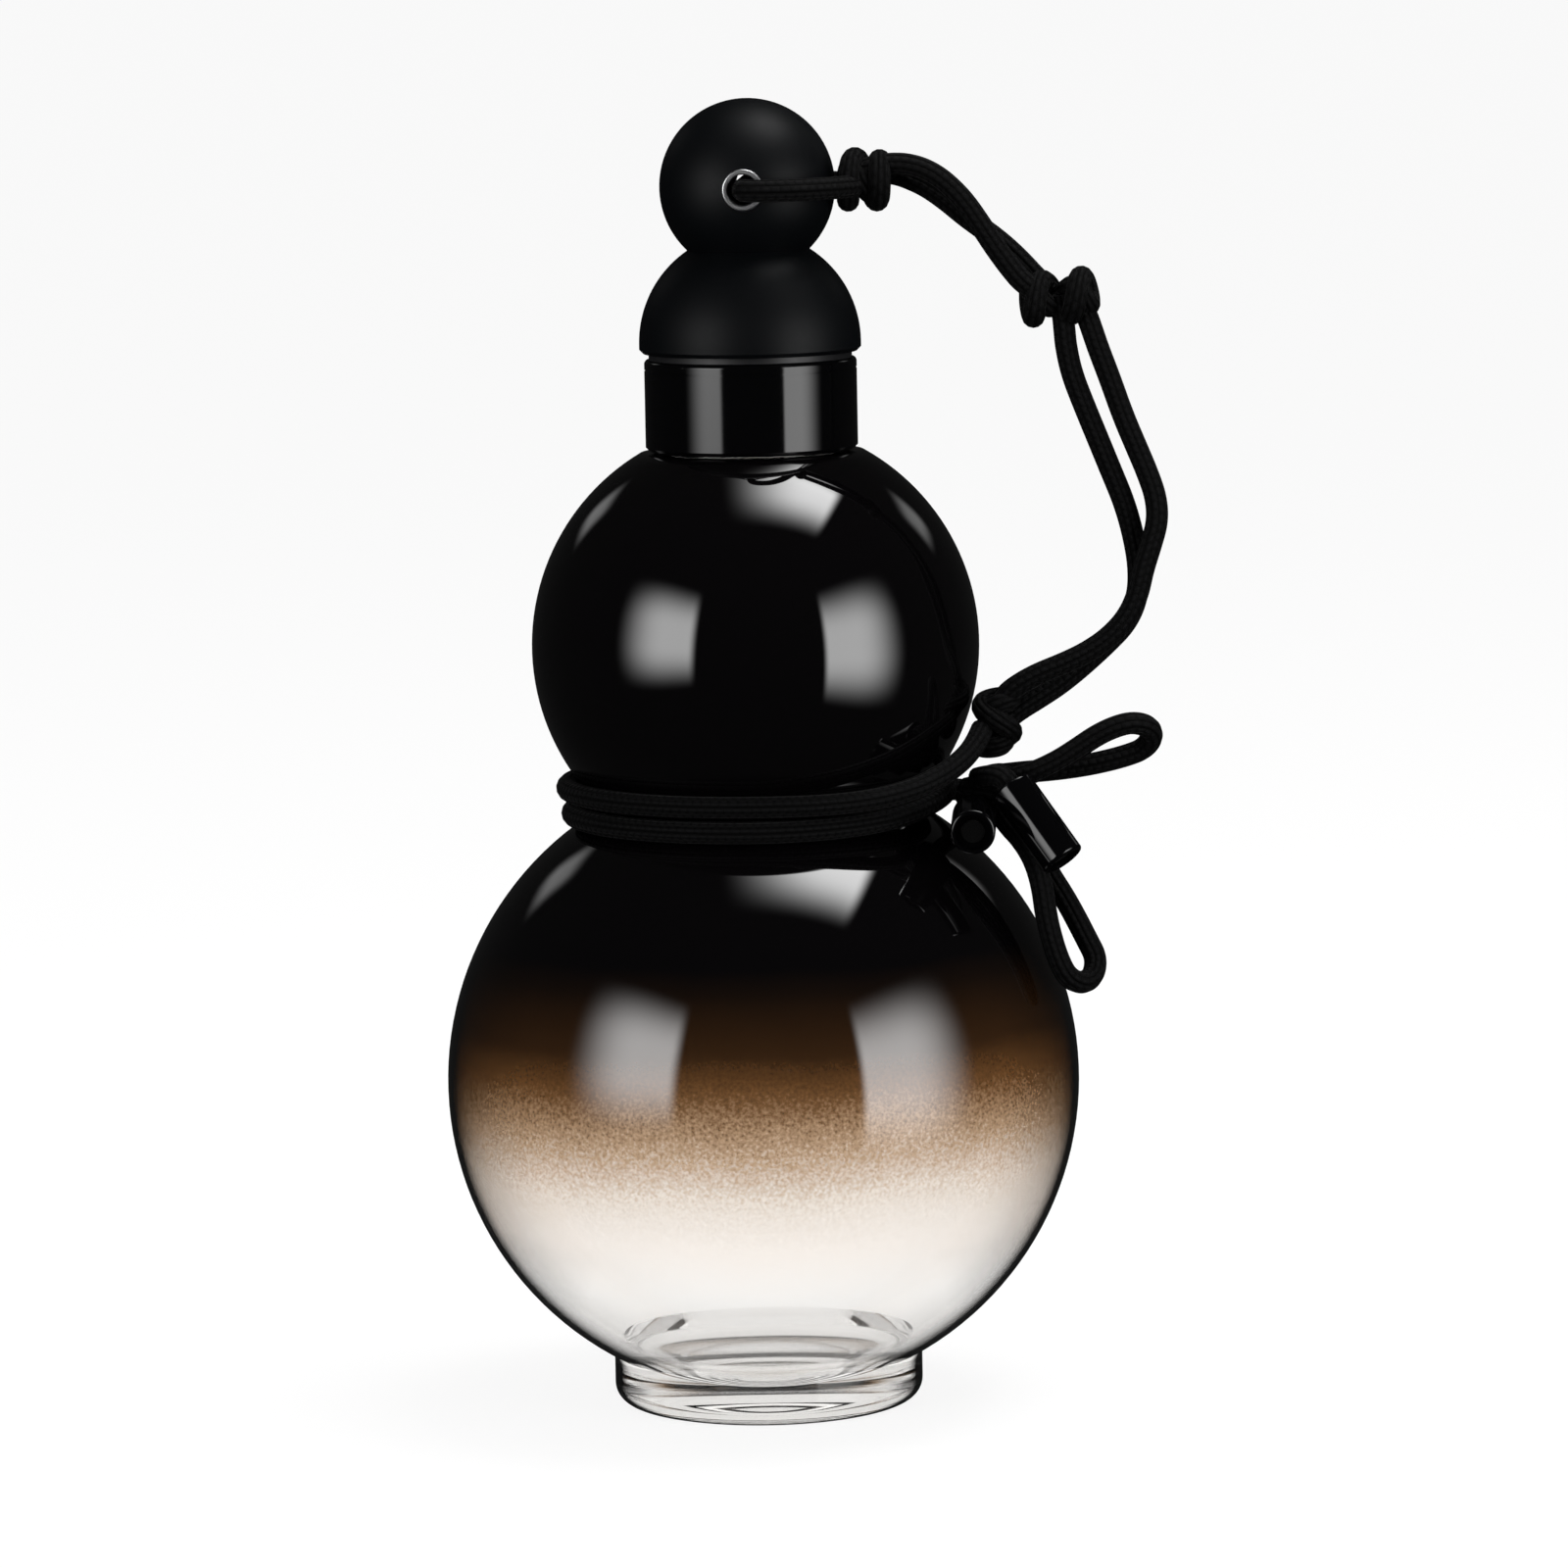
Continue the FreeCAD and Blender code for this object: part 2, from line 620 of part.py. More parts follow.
def waist_wrap():
    """Cord wound twice round the waist: its upper turn, then its lower turn, then out to the bow."""
    low_offset = s.lower_bulb_radius + s.wrap_clearance + cord_radius
    high_offset = s.upper_bulb_radius + s.wrap_clearance + cord_radius
    nest_radius, nest_height = meeting(low_offset, lower_bulb_height, high_offset, s.bulb_spacing)
    upper_radius = nest_radius + s.wrap_upper_stand
    lower_radius = nest_radius + s.wrap_lower_stand
    leaving_radius = nest_radius + s.wrap_leaving_stand
    upper_height = below(upper_bulb_height, high_offset, upper_radius)
    lower_height = above(lower_bulb_height, low_offset, lower_radius)
    turns = [(upper_radius, upper_height, 0)] * WRAP_UPPER_QUARTERS
    turns += [(lower_radius, lower_height, 0)] * WRAP_LOWER_QUARTERS
    turns += [(leaving_radius, lower_height, WRAP_LEAVING_LEAN)]
    straight = s.cord_diameter.value
    edges = [Part.LineSegment(WRAP_START, WRAP_START + WRAP_START_WAY * straight).toShape()]
    radii = []
    place = WRAP_START + WRAP_START_WAY * straight
    way = WRAP_START_WAY
    for quarter, (radius, height, lean) in enumerate(turns):
        azimuth = math.radians(WRAP_START_AZIMUTH - quarter * QUARTER_TURN)
        heading = azimuth - math.radians(QUARTER_TURN - lean)
        outward = FreeCAD.Vector(math.cos(azimuth), math.sin(azimuth), 0)
        next_place = outward * radius.value + UP * height.value
        next_way = FreeCAD.Vector(math.cos(heading), math.sin(heading), 0)
        arcs, arc_radii = biarc(place, way, next_place, next_way)
        edges += arcs
        radii += arc_radii
        place = next_place
        way = next_way
    arcs, arc_radii = biarc(place, way, WRAP_END - WRAP_END_WAY * straight, WRAP_END_WAY)
    edges += arcs
    radii += arc_radii
    edges.append(Part.LineSegment(WRAP_END - WRAP_END_WAY * straight, WRAP_END).toShape())
    path = cord("waist_wrap", edges, radii)
    points = path.discretize(GAP_SAMPLES)
    apart = int(NEIGHBOUR_DIAMETERS * s.cord_diameter.value / path.Length * GAP_SAMPLES)
    least = min(
        (points[low] - points[high]).Length
        for low in range(GAP_SAMPLES)
        for high in range(low + apart, GAP_SAMPLES)
    )
    print(f"waist_wrap: least gap to itself {least - s.cord_diameter.value:.2f}")


def bow_end(label, end):
    """Short cord from the bow knot into its tip, ending in the tip's mouth."""
    start, inner_end, way = end
    inside = s.tip_length.value - s.tip_mouth_depth.value * MOUTH_SHARE
    corner = inner_end - way * (s.cord_diameter.value * BEND_SHARE)
    cord(label, *route_edges([start, corner, inner_end + way * inside]))


glass_body()
cap_crown()
cap_collar()
cap_liner()
mouth_seal()
eyelet("eyelet_front", 1)
eyelet("eyelet_back", -1)
knot("ball_knot", BALL_KNOT, s.ball_knot_half)
knot("middle_knot", MIDDLE_KNOT, s.middle_knot_half)
knot("waist_knot", WAIST_KNOT, s.waist_knot_half)
knot("bow_knot", BOW_KNOT, s.bow_knot_half)
for route_label, route in ROUTES.items():
    cord(route_label, *route_edges([FreeCAD.Vector(*point) for point in route]))
waist_wrap()
bow_end("bow_end_a", END_A)
bow_end("bow_end_b", END_B)
cord_tip("cord_tip_a", END_A)
cord_tip("cord_tip_b", END_B)
doc.recompute()

NODES = [
    "glass_body", "cap_crown", "cap_collar", "cap_liner", "mouth_seal", "eyelet_front", "eyelet_back",
    "ball_loop", "ball_knot", "tether_upper_a", "tether_upper_b", "middle_knot",
    "tether_lower_a", "tether_lower_b", "waist_knot", "waist_wrap", "bow_knot",
    "bow_loop_upper", "bow_loop_lower", "bow_end_a", "bow_end_b", "cord_tip_a", "cord_tip_b",
]

for item in doc.Objects:
    if "Invalid" in item.State or "Error" in item.State:
        raise RuntimeError(f"{item.Label} failed: {item.State}")
nodes = {label: doc.getObjectsByLabel(label)[0] for label in NODES}
for label, node in nodes.items():
    if node.Shape.isNull() or not node.Shape.isValid():
        raise RuntimeError(f"{label} has no valid shape")
os.makedirs("parts", exist_ok=True)
for label, node in nodes.items():
    node.Shape.exportStep(os.path.join("parts", label + ".step"))
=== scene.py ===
import math

import bmesh
import bpy
from mathutils import Matrix, Vector


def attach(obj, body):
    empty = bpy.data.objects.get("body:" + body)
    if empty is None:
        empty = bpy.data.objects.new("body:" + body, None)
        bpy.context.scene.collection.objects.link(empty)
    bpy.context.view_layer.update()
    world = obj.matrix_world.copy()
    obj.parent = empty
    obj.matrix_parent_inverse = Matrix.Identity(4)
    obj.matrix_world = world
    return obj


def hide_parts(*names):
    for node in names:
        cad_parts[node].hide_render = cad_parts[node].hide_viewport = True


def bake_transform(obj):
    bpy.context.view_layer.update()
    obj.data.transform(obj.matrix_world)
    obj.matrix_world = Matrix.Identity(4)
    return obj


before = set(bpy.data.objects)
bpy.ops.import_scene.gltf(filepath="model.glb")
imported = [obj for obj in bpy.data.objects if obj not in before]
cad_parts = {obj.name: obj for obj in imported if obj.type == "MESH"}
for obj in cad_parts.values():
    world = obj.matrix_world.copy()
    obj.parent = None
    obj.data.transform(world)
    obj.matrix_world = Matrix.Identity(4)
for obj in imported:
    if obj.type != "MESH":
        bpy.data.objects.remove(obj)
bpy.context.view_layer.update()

# Gourd water bottle: sprayed glass, a ball-topped screw cap and a knotted cord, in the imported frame.
# Sizes below are in millimetres and become metres where a mesh is made.

scene = bpy.context.scene
scene.view_settings.view_transform = "Standard"
# Light turns many times in the thick clear foot before it leaves, and with too few turns the foot goes grey.
scene.cycles.max_bounces = 32
scene.cycles.glossy_bounces = 24
scene.cycles.transmission_bounces = 32
MM = 0.001

# Glass: the two bulbs, the foot under them and the neck above.
WALL = 2.2
LOW_MIDDLE, LOW_RADIUS = 49.5, 48.0
HIGH_MIDDLE, HIGH_RADIUS = 115.8, 33.8
WAIST_ROUNDING = 3.0
FOOT_RADIUS, FOOT_DROP, FOOT_ROUNDING = 23.5, 41.86, 3.0
PUNT_RADIUS, PUNT_RISE = 16.5, 1.6
SHOULDER, SHOULDER_ANGLE = 145.07, 60.0
CEILING_ROUNDING, CEILING_ANGLE = 2.0, 58.9
MOUTH, NECK_RADIUS, BORE_RADIUS, LIP_ROUNDING = 155.97, 12.6, 10.2, 0.8
BORE_FROM = 140.0
GLASS_STEPS = 160
SHARP_ANGLE = 35
# The thread round the neck.
THREAD_RADIUS, THREAD_FROM, THREAD_RISE, THREAD_STEPS = 12.55, 148.2, 6.0, 108
# The lacquer: the heights between which it thins out, how far its edge drifts, and how far its grains scatter.
FADE_LOW, FADE_HIGH = 22.0, 72.0
DRIFT_REACH, DRIFT_SIZE = 1.5, 25.0
GRAIN_REACH, GRAIN_SIZE = 4.8, 0.5
# The heights where clear glass gives way to lacquered, and the foot to the wall, as the dark of their edges shows; the
# painted edge shade on the glass changes between them.
CLEAR_BELOW, LACQUERED_ABOVE = 18.0, 28.0
FOOT_BELOW, WALL_ABOVE = 7.0, 8.0

# Camera, as the photograph was taken.
CAMERA_DISTANCE = 1114.2
CAMERA_HEIGHT = 234.27
CAMERA_LENS = 170.18
CAMERA_ROUND = 3.0
CAMERA_YAW = 0.201
CAMERA_PITCH = 7.151
CAMERA_ROLL = -1.037

# Studio: how bright the room and the floor are.
ROOM_FILL = 0.4
ROOM_IN_GLOSS = 0.01
ROOM_THROUGH_GLASS = 0.85
FLOOR_GLOW = 0.86
FLOOR_REACH = 30.0

# Cord routes from knot to knot.
CORD_RADIUS = 1.7
BALL_LOOP = [
    (16.3, -4.3, 184.9), (14.6, -8.2, 184.9), (11.6, -12.4, 184.9), (7.0, -15.6, 184.9),
    (0.0, -15.8, 184.9), (0.0, -9.0, 184.9), (0.0, 9.0, 184.9), (0.0, 15.8, 184.9),
    (7.2, 15.4, 184.9), (11.6, 11.6, 184.9), (14.6, 6.8, 184.9), (16.0, 3.2, 184.9),
    (16.4, -0.5, 184.9),
]
TETHER_UPPER_A = [
    (17.4, -3.3, 187.2), (19.6, -3.4, 187.9), (21.9, -3.5, 188.1), (24.1, -3.6, 188.0), (26.6, -3.7, 187.3),
    (29.0, -3.8, 185.9), (31.0, -4.0, 184.1), (32.8, -4.1, 182.1), (34.9, -4.2, 179.0), (36.9, -4.2, 175.8),
    (39.2, -4.0, 172.5), (41.5, -3.8, 169.7), (43.8, -3.4, 168.3),
]
TETHER_UPPER_B = [
    (17.4, -0.6, 186.4), (19.9, -0.2, 186.8), (22.5, 0.0, 186.4), (24.4, 0.0, 185.7), (26.9, -0.1, 184.5),
    (29.7, -0.2, 182.5), (32.6, -0.1, 180.0), (35.4, 0.0, 177.9), (38.2, 0.1, 175.7), (40.9, 0.1, 173.1),
    (43.2, 0.0, 170.5), (45.4, -0.6, 168.4),
]
TETHER_LOWER_A = [
    (46.6, -2.0, 168.0), (47.1, -2.0, 165.2), (47.3, -2.0, 162.6), (47.5, -2.0, 160.2), (48.3, -2.0, 156.2),
    (50.1, -2.0, 151.4), (52.0, -1.8, 146.6), (54.0, -1.4, 141.5), (55.9, -0.8, 136.7), (57.2, -0.2, 131.8),
    (58.0, 0.2, 126.8), (57.8, 0.3, 122.4), (56.1, 0.2, 118.4), (52.8, -0.2, 115.1),
    (48.9, -0.9, 111.7), (45.7, -2.0, 109.3), (42.7, -3.0, 107.5), (40.4, -3.7, 106.2),
    (38.7, -4.1, 105.1), (37.2, -4.6, 103.8),
]
TETHER_LOWER_B = [
    (49.6, -2.0, 167.4), (50.7, -2.0, 164.9), (51.5, -2.0, 162.5), (52.3, -2.0, 160.0), (54.0, -2.0, 155.4),
    (55.9, -2.0, 149.8), (57.8, -2.2, 145.2), (59.5, -2.6, 141.1), (60.7, -3.0, 137.5), (60.9, -3.4, 134.0),
    (59.8, -3.8, 130.3), (58.6, -4.0, 126.7), (57.8, -4.1, 123.0), (56.1, -4.2, 119.5),
    (53.3, -4.5, 116.6), (49.9, -4.9, 114.4), (46.3, -5.3, 112.8), (42.8, -5.6, 111.5),
    (39.9, -5.8, 110.0), (37.6, -5.8, 108.3), (36.5, -5.5, 106.2),
]
BOW_LOOP_UPPER = [
    (37.6, -9.4, 96.0), (40.2, -10.0, 96.5), (43.0, -10.5, 97.6), (45.8, -10.8, 99.0),
    (48.6, -11.0, 100.8), (51.4, -11.2, 102.7), (54.2, -11.3, 104.0), (56.8, -11.1, 104.6),
    (59.2, -9.6, 103.8), (59.8, -7.4, 101.9), (58.4, -5.9, 99.9), (55.8, -5.6, 98.9),
    (52.6, -5.7, 98.1), (49.4, -5.8, 97.5), (46.3, -5.9, 97.1), (43.2, -5.9, 96.8),
    (40.2, -5.7, 96.6), (37.5, -5.6, 96.3),
]
BOW_LOOP_LOWER = [
    (36.2, -8.6, 91.6), (37.7, -9.4, 89.3), (40.0, -10.6, 87.0), (41.9, -12.0, 84.0),
    (43.0, -13.2, 80.2), (43.5, -14.2, 76.0), (44.3, -14.9, 72.5), (45.3, -15.2, 69.3),
    (46.6, -15.2, 66.7), (48.8, -13.7, 65.5), (50.5, -11.5, 66.4), (50.9, -10.0, 68.9),
    (49.6, -9.9, 71.5), (48.0, -9.4, 74.7), (46.2, -8.8, 78.0), (44.0, -8.0, 81.4),
    (42.2, -7.0, 84.8), (40.2, -5.9, 88.8), (38.1, -5.2, 92.4),
]
BOW_END_A = [(33.4, -10.8, 96.3), (37.0, -14.5, 97.8), (39.1, -15.7, 94.9), (45.9, -19.7, 85.6)]
BOW_END_B = [(31.6, -6.8, 93.2), (33.0, -9.2, 91.0), (33.0, -12.9, 90.9), (33.0, -25.1, 90.2)]
# The wrap: out of the waist knot to the front, its two turns as (radius, height, azimuths), the steps between them and
# away from them as (azimuth, radius, height), and into the bow knot.
WRAP_OUT = [
    (34.2, -7.2, 103.4), (33.4, -10.6, 101.6), (30.9, -15.4, 99.2), (26.8, -20.0, 97.0),
    (21.6, -23.8, 95.6), (15.6, -26.6, 94.9),
]
WRAP_STEP = 30
WRAP_UPPER_TURN = (28.9, 94.67, range(-75, -316, -WRAP_STEP))
WRAP_STEP_DOWN = [(-345, 28.8, 94.5), (-375, 28.5, 93.1), (-405, 28.3, 91.3)]
WRAP_LOWER_TURN = (28.2, 90.79, range(-435, -616, -WRAP_STEP))
WRAP_LEAVING = [(-645, 29.2, 90.8), (-670, 31.2, 90.9), (-690, 33.0, 91.2)]
WRAP_IN = [(34.9, 8.0, 92.0), (35.0, 3.0, 93.3), (34.7, -1.0, 94.0), (34.6, -4.4, 94.0)]
# Points in each turn of a knot, and half the angle between two of them.
KNOT_POINTS = 14
KNOT_HALF_STEP = 13


def linear(colour):
    """sRGB hex to the linear colour that a shader takes."""
    parts = [int(colour[index:index + 2], 16) / 255 for index in (1, 3, 5)]
    return [part / 12.92 if part <= 0.04045 else ((part + 0.055) / 1.055) ** 2.4 for part in parts] + [1.0]


def node(tree, kind, sockets=None, **settings):
    """Add a node with its settings, and give its sockets their values or links."""
    made = tree.nodes.new(kind)
    for name, value in settings.items():
        setattr(made, name, value)
    for name, value in (sockets or {}).items():
        if isinstance(value, bpy.types.NodeSocket):
            tree.links.new(value, made.inputs[name])
        else:
            made.inputs[name].default_value = value
    return made


def finish(name, **values):
    """New material with plain values set on its shader."""
    made = bpy.data.materials.new(name)
    made.use_nodes = True
    shader = made.node_tree.nodes["Principled BSDF"]
    for socket, value in values.items():
        shader.inputs[socket.replace("_", " ")].default_value = value
    return made, made.node_tree, shader


def stops(ramp, pairs):
    """Give a colour ramp its places and colours."""
    elements = ramp.color_ramp.elements
    while len(elements) > 1:
        elements.remove(elements[-1])
    for index, (place, colour) in enumerate(pairs):
        element = elements[0] if index == 0 else elements.new(place)
        element.position = place
        element.color = linear(colour)


def show(name, mesh, materials, body, slot, *nodes):
    """Put a finished mesh in the scene, riding on its body, if it has one, and standing for its solids."""
    piece = bpy.data.objects.new(name, mesh)
    scene.collection.objects.link(piece)
    for material in materials:
        mesh.materials.append(material)
    if body:
        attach(piece, body)
    if nodes:
        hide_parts(*nodes)
    return piece


# Studio

def make_camera():
    """Camera at the photograph's angle."""
    data = bpy.data.cameras.new("camera")
    data.lens = CAMERA_LENS
    data.sensor_width = 36
    camera = bpy.data.objects.new("camera", data)
    scene.collection.objects.link(camera)
    turn = Matrix.Rotation(math.radians(CAMERA_ROUND), 4, "Z")
    aim = Matrix.Rotation(math.radians(-CAMERA_YAW), 4, "Z")
    tilt = Matrix.Rotation(math.radians(90 - CAMERA_PITCH), 4, "X")
    roll = Matrix.Rotation(math.radians(CAMERA_ROLL), 4, "Z")
    place = Matrix.Translation((0, -CAMERA_DISTANCE * MM, CAMERA_HEIGHT * MM))
    camera.matrix_world = turn @ place @ aim @ tilt @ roll
    scene.camera = camera


def make_softbox(name, direction, distance, size, radiance, across, up, aim_height):
    """Softbox, in metres, whose cloth fades out to its edges.

    Each fade gives the shares of its width or height where it starts, is full, starts to fall and ends.
    """
    data = bpy.data.lights.new(name, "AREA")
    data.shape = "RECTANGLE"
    data.size, data.size_y = size
    data.energy = math.pi * size[0] * size[1]
    data.use_nodes = True
    tree = data.node_tree
    tree.nodes.clear()
    place = node(tree, "ShaderNodeSeparateXYZ", {0: node(tree, "ShaderNodeNewGeometry").outputs["Parametric"]})
    level = radiance
    for axis, (dark_from, bright_from, bright_to, dark_to) in (("X", across), ("Y", up)):
        rise = node(tree, "ShaderNodeMapRange", {"Value": place.outputs[axis], "From Min": dark_from,
                                                 "From Max": bright_from}, interpolation_type="SMOOTHERSTEP")
        fall = node(tree, "ShaderNodeMapRange", {"Value": place.outputs[axis], "From Min": dark_to,
                                                 "From Max": bright_to}, interpolation_type="SMOOTHERSTEP")
        both = node(tree, "ShaderNodeMath", {0: rise.outputs[0], 1: fall.outputs[0]}, operation="MULTIPLY")
        level = node(tree, "ShaderNodeMath", {0: both.outputs[0], 1: level}, operation="MULTIPLY").outputs[0]
    # light that has been through glass sees the box as bright as the room
    path = node(tree, "ShaderNodeLightPath")
    inside = node(tree, "ShaderNodeMath", {0: path.outputs["Transmission Depth"], 1: 0.5}, operation="GREATER_THAN")
    level = node(tree, "ShaderNodeMath", {0: inside.outputs[0], 1: ROOM_THROUGH_GLASS, 2: level},
                 operation="MULTIPLY_ADD").outputs[0]
    glow = node(tree, "ShaderNodeEmission", {"Strength": level})
    node(tree, "ShaderNodeOutputLight", {"Surface": glow.outputs[0]})
    lamp = bpy.data.objects.new(name, data)
    scene.collection.objects.link(lamp)
    target = Vector((0, 0, aim_height))
    lamp.location = target + Vector(direction).normalized() * distance
    lamp.rotation_euler = (target - lamp.location).to_track_quat("-Z", "Y").to_euler()
    lamp.visible_camera = False
    lamp.visible_transmission = False


def make_studio():
    """Pale floor, white room and five soft boxes: left, right, top, and two small ones behind for the rims."""
    bm = bmesh.new()
    bmesh.ops.create_grid(bm, x_segments=1, y_segments=1, size=FLOOR_REACH)
    mesh = bpy.data.meshes.new("floor")
    bm.to_mesh(mesh)
    bm.free()
    floor = bpy.data.objects.new("floor", mesh)
    scene.collection.objects.link(floor)
    floor.visible_glossy = False
    # Pale sweep: mostly its own white to the eye and through glass, with enough lit colour to keep a shadow.
    pale = bpy.data.materials.new("pale_sweep")
    pale.use_nodes = True
    tree = pale.node_tree
    tree.nodes.clear()
    path = node(tree, "ShaderNodeLightPath")
    seen = node(tree, "ShaderNodeMath", {0: path.outputs["Is Camera Ray"], 1: path.outputs["Is Transmission Ray"]},
                operation="MAXIMUM")
    own = node(tree, "ShaderNodeMath", {0: seen.outputs[0], 1: FLOOR_GLOW}, operation="MULTIPLY")
    glow = node(tree, "ShaderNodeEmission", {"Color": linear("#ffffff"), "Strength": own.outputs[0]})
    lit = node(tree, "ShaderNodeBsdfDiffuse", {"Color": linear("#7c7c7c")})
    both = node(tree, "ShaderNodeAddShader", {0: glow.outputs[0], 1: lit.outputs[0]})
    node(tree, "ShaderNodeOutputMaterial", {"Surface": both.outputs[0]})
    mesh.materials.append(pale)
    # Room: white to the eye, a soft fill on the object, and dark where the gloss looks.
    world = bpy.data.worlds.new("studio")
    scene.world = world
    world.use_nodes = True
    tree = world.node_tree
    tree.nodes.clear()
    path = node(tree, "ShaderNodeLightPath")
    fill = node(tree, "ShaderNodeMath", {0: path.outputs["Is Diffuse Ray"], 1: ROOM_FILL, 2: ROOM_IN_GLOSS},
                operation="MULTIPLY_ADD")
    inside = node(tree, "ShaderNodeMath", {0: path.outputs["Transmission Depth"], 1: 0.5}, operation="GREATER_THAN")
    glass = node(tree, "ShaderNodeMath", {0: inside.outputs[0], 1: ROOM_THROUGH_GLASS, 2: fill.outputs[0]},
                 operation="MULTIPLY_ADD")
    level = node(tree, "ShaderNodeMath", {0: path.outputs["Is Camera Ray"], 1: glass.outputs[0]}, operation="MAXIMUM")
    room = node(tree, "ShaderNodeBackground", {"Color": linear("#ffffff"), "Strength": level.outputs[0]})
    node(tree, "ShaderNodeOutputWorld", {"Surface": room.outputs[0]})
    centred = (0.0, 0.45, 0.55, 1.0)
    make_softbox("left_softbox", (-0.77, -0.64, 0.12), 1.0, (0.90, 1.00), 4.4, (0.0, 0.66, 0.86, 1.0), centred, 0.16)
    make_softbox("right_softbox", (0.88, -0.47, 0.02), 1.0, (0.95, 1.20), 4.6, (0.0, 0.1, 0.34, 1.0), centred, 0.16)
    make_softbox("top_softbox", (0.02, 0.0, 1.0), 0.9, (0.80, 1.40), 6.8, (0.0, 0.6, 0.7, 1.0),
                 (0.11, 0.18, 0.25, 0.66), 0.12)
    for side, way in (("left", -1), ("right", 1)):
        make_softbox(side + "_rim_softbox", (way * 0.62, 0.68, 0.41), 1.1, (0.36, 0.36), 0.5, centred, centred, 0.14)


# Materials

def sprayed_glass():
    """Blown glass under a sprayed lacquer.

    To the eye: deep glossy black at the top, thinning through brown grains to clear glass, with painted shade
    darkening its edges.
    """
    made, tree, shader = finish("sprayed_blown_glass", Roughness=0.03, IOR=1.5, Coat_Weight=1.0,
                                Coat_Roughness=0.02, Coat_IOR=1.5)
    place = node(tree, "ShaderNodeTexCoord").outputs["Object"]
    height = node(tree, "ShaderNodeSeparateXYZ", {0: place}).outputs["Z"]
    # the spray's edge drifts slowly, and its grains, about 0.4 mm, are drawn at 0.5 to show
    cloud = node(tree, "ShaderNodeTexNoise", {"Vector": place, "Scale": 1 / (DRIFT_SIZE * MM), "Detail": 2.0})
    drift = node(tree, "ShaderNodeMapRange", {"Value": cloud.outputs["Fac"], "To Min": -DRIFT_REACH * MM,
                                              "To Max": DRIFT_REACH * MM})
    drifted = node(tree, "ShaderNodeMath", {0: height, 1: drift.outputs[0]}, operation="ADD").outputs[0]
    grain = node(tree, "ShaderNodeTexNoise", {"Vector": place, "Scale": 1 / (GRAIN_SIZE * MM), "Detail": 1.0,
                                              "Roughness": 0.6})
    shift = node(tree, "ShaderNodeMapRange", {"Value": grain.outputs["Fac"], "From Min": 0.25, "From Max": 0.75,
                                              "To Min": -GRAIN_REACH * MM, "To Max": GRAIN_REACH * MM})
    even = node(tree, "ShaderNodeMapRange", {"Value": drifted, "From Min": FADE_LOW * MM, "From Max": FADE_HIGH * MM})
    # grains show where the lacquer is neither full nor gone
    spread = node(tree, "ShaderNodeValToRGB", {"Fac": even.outputs[0]})
    stops(spread, [(0.15, "#707070"), (0.38, "#ffffff"), (0.56, "#ffffff"), (0.7, "#808080"), (0.9, "#000000")])
    speckled = node(tree, "ShaderNodeMath", {0: shift.outputs[0], 1: spread.outputs["Color"], 2: drifted},
                    operation="MULTIPLY_ADD").outputs[0]
    share = node(tree, "ShaderNodeMapRange", {"Value": speckled, "From Min": FADE_LOW * MM,
                                              "From Max": FADE_HIGH * MM})
    colour = node(tree, "ShaderNodeValToRGB", {"Fac": share.outputs[0]})
    stops(colour, [(0.0, "#fcfaf7"), (0.16, "#f1e6dc"), (0.32, "#dfcfbf"), (0.485, "#b48e69"), (0.63, "#714b28"),
                   (0.755, "#362211"), (0.93, "#150d08"), (1.0, "#060506")])
    # light gets through where the lacquer is thin
    clear = node(tree, "ShaderNodeValToRGB", {"Fac": even.outputs[0]})
    stops(clear, [(0.19, "#ffffff"), (0.35, "#f0f0f0"), (0.51, "#b4b4b4"), (0.68, "#505050"), (0.84, "#000000")])
    # painted shade: the base colour darkens with the angle at which the glass is seen (Layer Weight, Facing), widely
    # under the lacquer, in a thin painted outline where it is clear
    edge = node(tree, "ShaderNodeLayerWeight", {"Blend": 0.5}).outputs["Facing"]
    onset = node(tree, "ShaderNodeMapRange", {"Value": height, "From Min": CLEAR_BELOW * MM,
                                              "From Max": LACQUERED_ABOVE * MM, "To Min": 0.64, "To Max": 0.36})
    rim = node(tree, "ShaderNodeMapRange", {"Value": edge, "From Min": onset.outputs[0], "From Max": 0.92})
    # painted shade: the lacquer's colour multiplied darker towards the glass edges
    rim_shaded_colour = node(tree, "ShaderNodeMix", {"Factor": rim.outputs[0], "A": colour.outputs["Color"],
                                        "B": linear("#2c2e30")}, data_type="RGBA", blend_type="MULTIPLY")
    # the painted dark outline is wider round the thick foot
    start, full = [node(tree, "ShaderNodeMapRange", {"Value": height, "From Min": FOOT_BELOW * MM,
                                                     "From Max": WALL_ABOVE * MM, "To Min": foot,
                                                     "To Max": wall}).outputs[0]
                   for foot, wall in ((0.56, 0.70), (0.72, 0.83))]
    line = node(tree, "ShaderNodeMapRange", {"Value": edge, "From Min": start, "From Max": full},
                interpolation_type="SMOOTHSTEP")
    # painted outline: near-black multiplied into the edges of the clear glass
    painted_outline_colour = node(tree, "ShaderNodeMix", {"Factor": line.outputs[0], "A": rim_shaded_colour.outputs["Result"],
                                            "B": linear("#020202")}, data_type="RGBA", blend_type="MULTIPLY")
    tree.links.new(painted_outline_colour.outputs["Result"], shader.inputs["Base Color"])
    tree.links.new(clear.outputs["Color"], shader.inputs["Transmission Weight"])
    return made


def clear_glass():
    """Bare inner wall of the blown glass: clear and fire-polished, so the eye sees through it without a haze."""
    return finish("clear_blown_glass", Base_Color=linear("#ffffff"), Roughness=0.0, IOR=1.5,
                  Transmission_Weight=1.0)[0]


